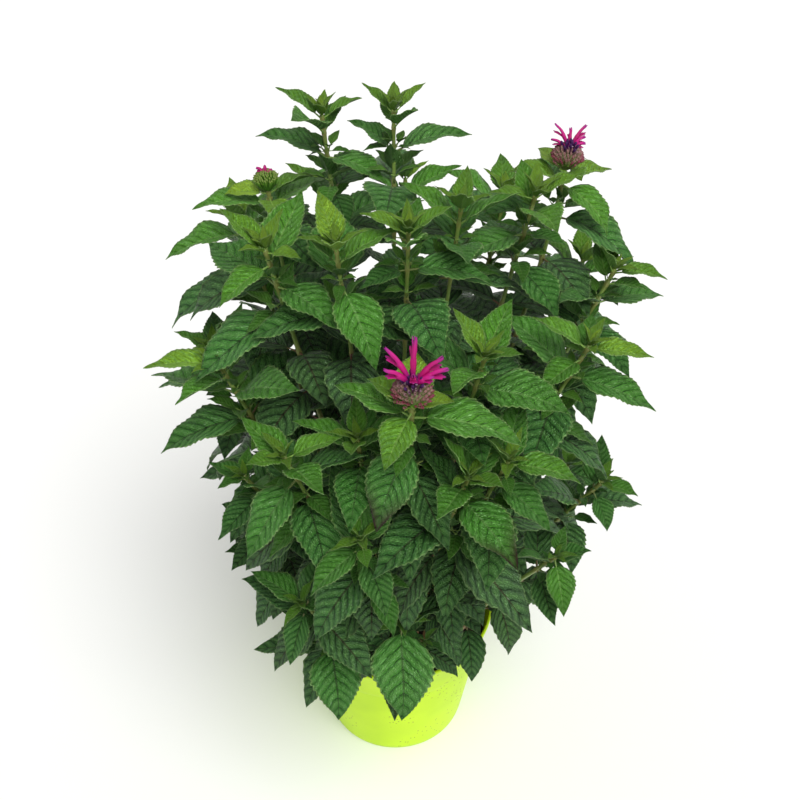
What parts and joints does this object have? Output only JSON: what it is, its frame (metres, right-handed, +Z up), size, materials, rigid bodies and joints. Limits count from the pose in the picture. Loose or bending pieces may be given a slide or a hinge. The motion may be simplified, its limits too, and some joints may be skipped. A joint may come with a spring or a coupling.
{
  "type": "potted bee balm",
  "caption": "Potted bee balm: leafy square stems with serrated leaves in opposite pairs, shaggy magenta flower heads on leafy bracts, soil, and a lime plastic nursery pot.",
  "frame": {"origin": "middle of the pot's flat underside", "axes": "+Z up the plant, -Y towards its front, where the lowest flower head leans out"},
  "size_m": [0.3661, 0.3621, 0.56],
  "materials": {
    "pot": "satin",
    "soil": "matte",
    "foliage": "satin",
    "calyxes": "matte",
    "florets": "satin"
  },
  "bodies": {
    "root": {"pot": "pot", "soil": "soil", "stem_tall_left": "foliage", "stem_tall_middle": "foliage", "stem_tall_right": "foliage", "stem_head_left": "foliage", "calyxes_head_left": "calyxes", "florets_head_left": "florets", "stem_head_right": "foliage", "calyxes_head_right": "calyxes", "florets_head_right": "florets", "stem_head_front": "foliage", "calyxes_head_front": "calyxes", "florets_head_front": "florets", "stem_bright_left": "foliage", "stem_bright_inner": "foliage", "stem_bright_middle": "foliage", "stem_small_middle": "foliage", "stem_star_right": "foliage", "stem_centre_right": "foliage", "stem_front_left": "foliage", "stem_front_inner": "foliage", "stem_low_front": "foliage", "stem_front_right": "foliage", "stem_low_middle": "foliage", "stem_low_right": "foliage", "stem_side_right": "foliage", "stem_edge_right": "foliage", "stem_edge_left": "foliage", "stem_low_left": "foliage", "stem_side_left": "foliage", "stem_back_left": "foliage", "stem_back_inner": "foliage", "stem_back_middle": "foliage", "stem_back_right": "foliage", "stem_back_edge": "foliage", "stem_low_back_edge": "foliage", "stem_low_back_left": "foliage", "stem_low_back": "foliage", "stem_low_back_right": "foliage", "stem_skirt_left": "foliage", "stem_skirt_back_left": "foliage", "stem_skirt_right": "foliage", "stem_skirt_front": "foliage", "stem_rim_left": "foliage", "stem_rim_right": "foliage", "stem_rim_back": "foliage", "stem_rim_back_left": "foliage", "stem_rim_front": "foliage", "stem_rim_side_left": "foliage", "stem_rim_side_right": "foliage", "stem_rim_back_inner": "foliage"}
  },
  "joints": []
}
